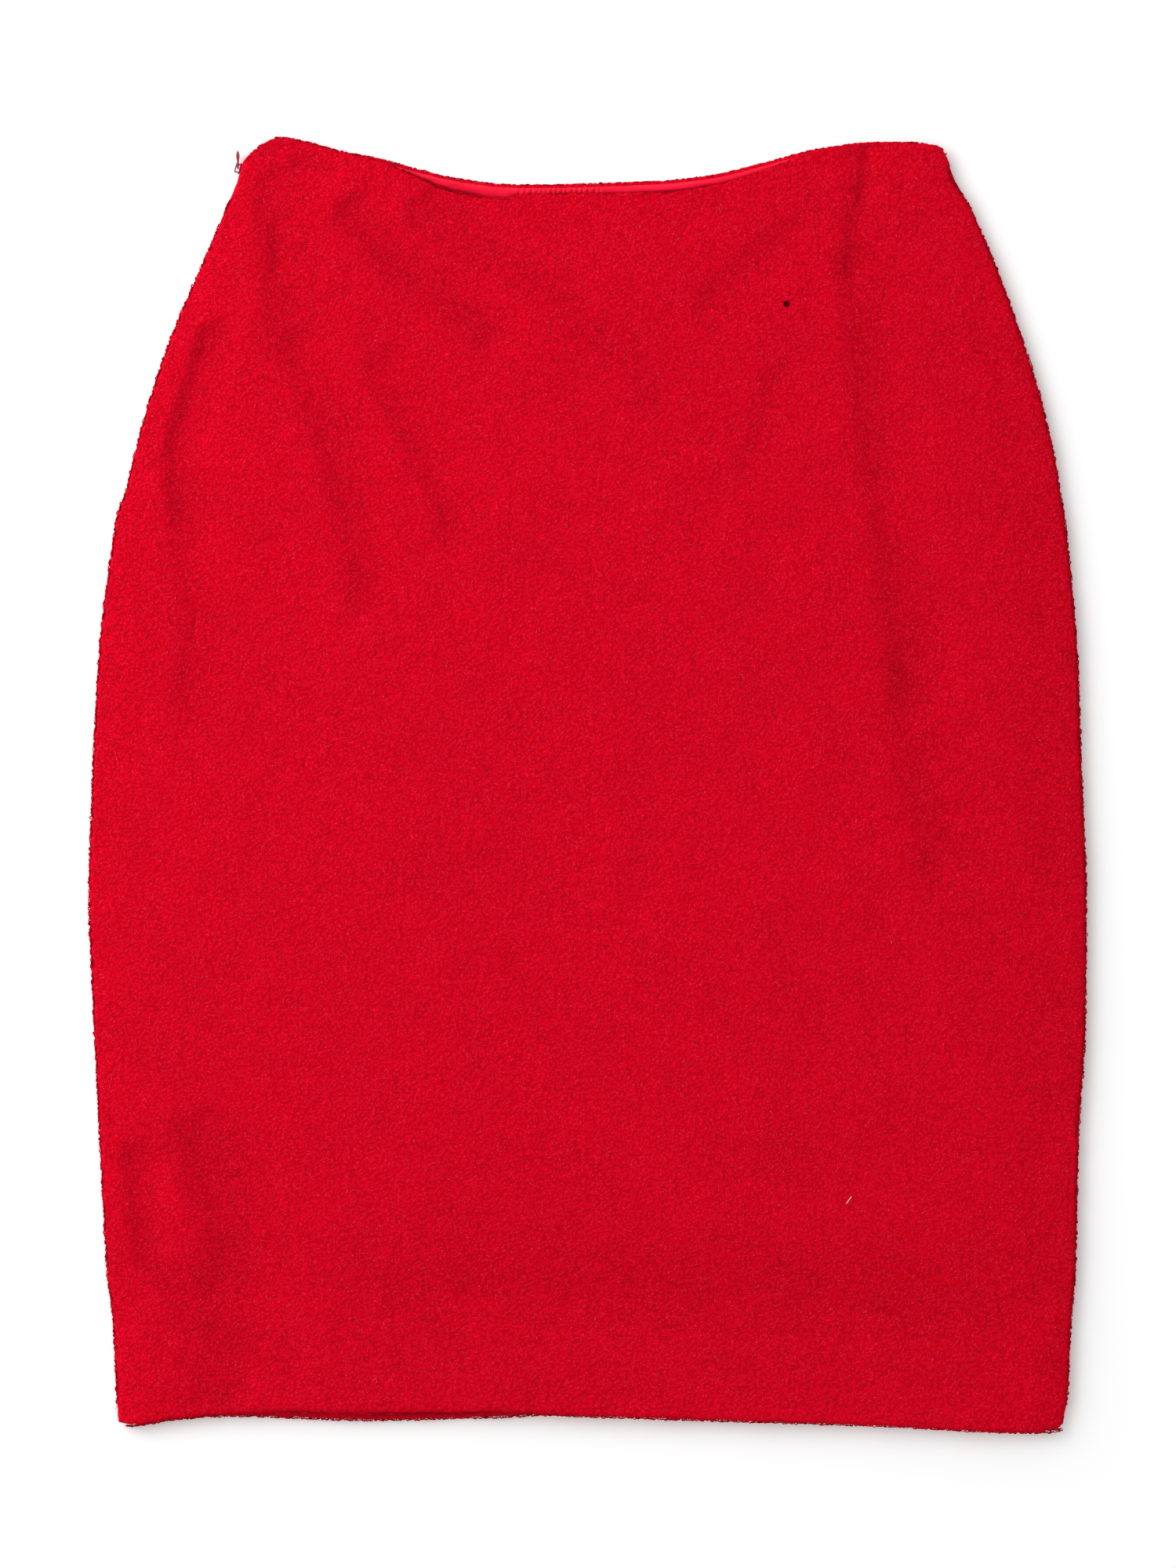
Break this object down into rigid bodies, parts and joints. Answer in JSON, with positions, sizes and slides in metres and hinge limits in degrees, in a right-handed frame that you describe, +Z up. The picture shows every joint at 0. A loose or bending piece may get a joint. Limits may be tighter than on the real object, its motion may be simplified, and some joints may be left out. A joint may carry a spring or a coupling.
{
  "type": "pencil skirt",
  "caption": "Knee-length pencil skirt of nubby cloth, laid flat with its front up: a front and a back panel, a waist facing, a turned-up hem and a side zip with a teardrop pull that turns.",
  "frame": {"origin": "middle of the underside, on the surface that the skirt lies on", "axes": "+Z up from that surface, +Y from the hem to the waist, +X across the skirt to the side without the zip"},
  "size_m": [0.483, 0.6272, 0.0091],
  "materials": {
    "cloth": "nubby, matt",
    "facing_satin": "smooth satin",
    "zip_tape": "woven tape, matt",
    "zip_metal": "gloss lacquer"
  },
  "bodies": {
    "skirt": {"front_panel": "cloth", "back_panel": "cloth", "back_facing": "facing_satin", "zip_tape": "zip_tape", "zip_slider": "zip_metal"},
    "pull": {"zip_pull": "zip_metal"}
  },
  "joints": [
    {"name": "pull_turn", "type": "hinge", "parent": "skirt", "child": "pull", "pos_m": [-0.16951, 0.29867, 0.0038], "axis": [0, 0, 1], "range_deg": [-15, 160]}
  ]
}
